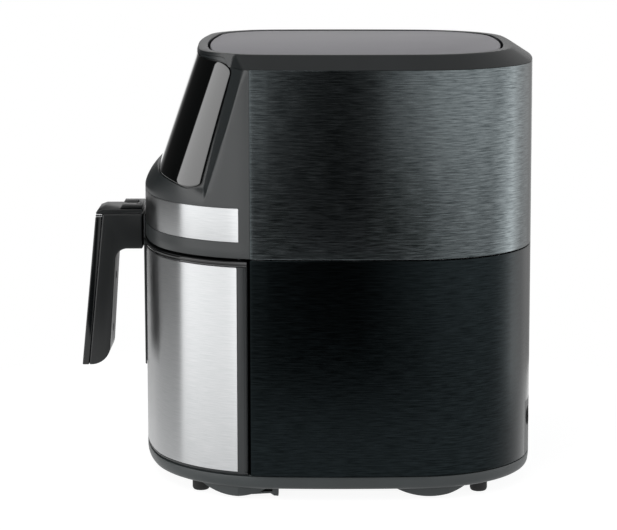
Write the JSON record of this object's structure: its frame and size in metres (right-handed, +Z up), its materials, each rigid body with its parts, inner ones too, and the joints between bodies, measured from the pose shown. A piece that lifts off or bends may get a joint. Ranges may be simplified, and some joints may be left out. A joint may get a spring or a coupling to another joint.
{
  "type": "air fryer",
  "caption": "Drawer air fryer with a dark brushed body, a leaning glossy control face, a pull-out basket drawer and a hooked handle with a covered release button.",
  "frame": {"origin": "on the floor under the feet, at the middle of the whole object's length from the handle's foot to the back bow", "axes": "+Z up, -Y towards the front where the control face and the handle are, +X to the object's left as it faces out"},
  "size_m": [0.28, 0.35, 0.33],
  "materials": {
    "base_tray": "matte moulded",
    "base_deck": "satin black",
    "rubber_feet": "matte",
    "base_screws": "satin",
    "lower_wrap": "dark, brushed level",
    "upper_wrap": "dark, brushed level",
    "front_fascia": "satin moulded",
    "trim_band": "brushed level",
    "control_panel": "gloss black",
    "control_board": "solder mask",
    "top_cover": "satin moulded",
    "top_panel": "fine satin",
    "rear_vent": "matte moulded",
    "cord_inlet": "matte",
    "inlet_plate": "matte moulded",
    "chamber_liner": "plain sheet",
    "drawer_rails": "smooth",
    "heat_shroud": "plain sheet",
    "heating_element": "oxidised tube",
    "element_clips": "plain sheet",
    "element_guard": "plated wire",
    "mid_frame": "satin",
    "motor_stator": "laminated core",
    "motor_bearings": "sintered bush",
    "motor_bracket": "zinc plated",
    "motor_screws": "satin",
    "power_board": "solder mask",
    "thermal_cutout": "phenolic",
    "temperature_probe": "plain",
    "reed_switch": "nylon",
    "hot_fan": "pressed sheet",
    "motor_shaft": "ground",
    "cooling_fan": "nylon",
    "drawer_pan": "non-stick coat",
    "drawer_front": "satin moulded",
    "drawer_back": "satin moulded",
    "drawer_skin": "brushed level",
    "drawer_lip": "gloss black",
    "drawer_magnet": "ferrite",
    "basket": "non-stick coat",
    "basket_mesh": "non-stick coat",
    "basket_bracket": "plain sheet",
    "handle_plate": "satin moulded",
    "handle_grip": "satin moulded",
    "handle_strip": "gloss black",
    "handle_accent": "bright",
    "handle_cap": "satin moulded",
    "handle_screws": "satin",
    "button_spring": "spring wire",
    "button_cover": "satin moulded",
    "release_button": "satin moulded",
    "latch_bolt": "plain sheet"
  },
  "bodies": {
    "housing": {"base_tray": "base_tray", "base_deck": "base_deck", "rubber_feet": "rubber_feet", "base_screws": "base_screws", "lower_wrap": "lower_wrap", "upper_wrap": "upper_wrap", "front_fascia": "front_fascia", "trim_band": "trim_band", "control_panel": "control_panel", "control_board": "control_board", "top_cover": "top_cover", "top_panel": "top_panel", "rear_vent": "rear_vent", "cord_inlet": "cord_inlet", "inlet_plate": "inlet_plate", "chamber_liner": "chamber_liner", "drawer_rails": "drawer_rails", "heat_shroud": "heat_shroud", "heating_element": "heating_element", "element_clips": "element_clips", "element_guard": "element_guard", "mid_frame": "mid_frame", "motor_stator": "motor_stator", "motor_bearings": "motor_bearings", "motor_bracket": "motor_bracket", "motor_screws": "motor_screws", "power_board": "power_board", "thermal_cutout": "thermal_cutout", "temperature_probe": "temperature_probe", "reed_switch": "reed_switch"},
    "fan": {"hot_fan": "hot_fan", "motor_shaft": "motor_shaft", "cooling_fan": "cooling_fan"},
    "drawer": {"drawer_pan": "drawer_pan", "drawer_front": "drawer_front", "drawer_back": "drawer_back", "drawer_skin": "drawer_skin", "drawer_lip": "drawer_lip", "drawer_magnet": "drawer_magnet", "basket": "basket", "basket_mesh": "basket_mesh", "basket_bracket": "basket_bracket", "handle_plate": "handle_plate", "handle_grip": "handle_grip", "handle_strip": "handle_strip", "handle_accent": "handle_accent", "handle_cap": "handle_cap", "handle_screws": "handle_screws", "button_spring": "button_spring"},
    "button_cover": {"button_cover": "button_cover"},
    "release_button": {"release_button": "release_button"},
    "latch": {"latch_bolt": "latch_bolt"}
  },
  "joints": [
    {"name": "drawer_slide", "type": "slide", "parent": "housing", "child": "drawer", "axis": [0, -1, 0], "range_m": [0, 0.285]},
    {"name": "cover_slide", "type": "slide", "parent": "drawer", "child": "button_cover", "axis": [0, -1, 0], "range_m": [0, 0.012]},
    {"name": "button_press", "type": "slide", "parent": "drawer", "child": "release_button", "axis": [0, 0, -1], "range_m": [0, 0.003], "stiffness_N_per_m": 600, "deforming": ["button_spring"]},
    {"name": "bolt_slide", "type": "slide", "parent": "drawer", "child": "latch", "axis": [0, -1, 0], "range_m": [0, 0.003]},
    {"name": "fan_spin", "type": "hinge", "parent": "housing", "child": "fan", "pos_m": [0, 0.025, 0.22], "axis": [0, 0, 1], "continuous": true}
  ],
  "couplings": [
    {"joint": "bolt_slide", "follows": "button_press", "ratio": 1}
  ]
}
